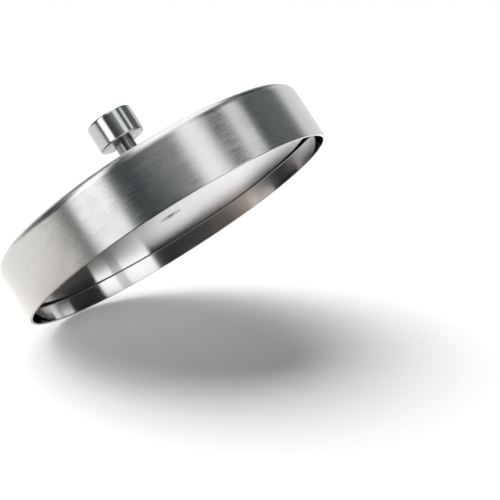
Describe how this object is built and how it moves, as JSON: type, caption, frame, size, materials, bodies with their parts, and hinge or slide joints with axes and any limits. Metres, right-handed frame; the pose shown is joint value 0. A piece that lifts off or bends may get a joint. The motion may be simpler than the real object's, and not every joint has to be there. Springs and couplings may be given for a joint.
{
  "type": "patty press",
  "caption": "Round steel cup, mouth down, with a flat pressing plate inside it on a sliding stem; the knob above the lid pushes the plate down to shape and eject a patty.",
  "frame": {"origin": "centre of the cup's mouth, in the plane of its rim", "axes": "+Z along the stem from the mouth to the knob; the part is round about Z"},
  "size_m": [0.115, 0.115, 0.046],
  "materials": {
    "satin_steel": "brushed round the cup",
    "plate_steel": "finely turned, half bright",
    "turned_steel": "turned",
    "polished_steel": "polished",
    "silicone": "matt"
  },
  "bodies": {
    "cup": {"cup": "satin_steel", "guide_bush": "turned_steel", "lid_gasket": "silicone", "lid_washer": "polished_steel", "collar_nut": "polished_steel"},
    "seal": {"stem_o_ring": "silicone"},
    "plunger": {"stem": "polished_steel", "knob": "polished_steel", "press_plate": "plate_steel", "hub_washer": "turned_steel", "plate_screw": "turned_steel"}
  },
  "joints": [
    {"name": "plunger_spin", "type": "hinge", "parent": "cup", "child": "seal", "pos_m": [0, 0, 0.02485], "axis": [0, 0, 1], "continuous": true},
    {"name": "plunger_slide", "type": "slide", "parent": "seal", "child": "plunger", "axis": [0, 0, 1], "range_m": [-0.0065, 0.00875]}
  ]
}
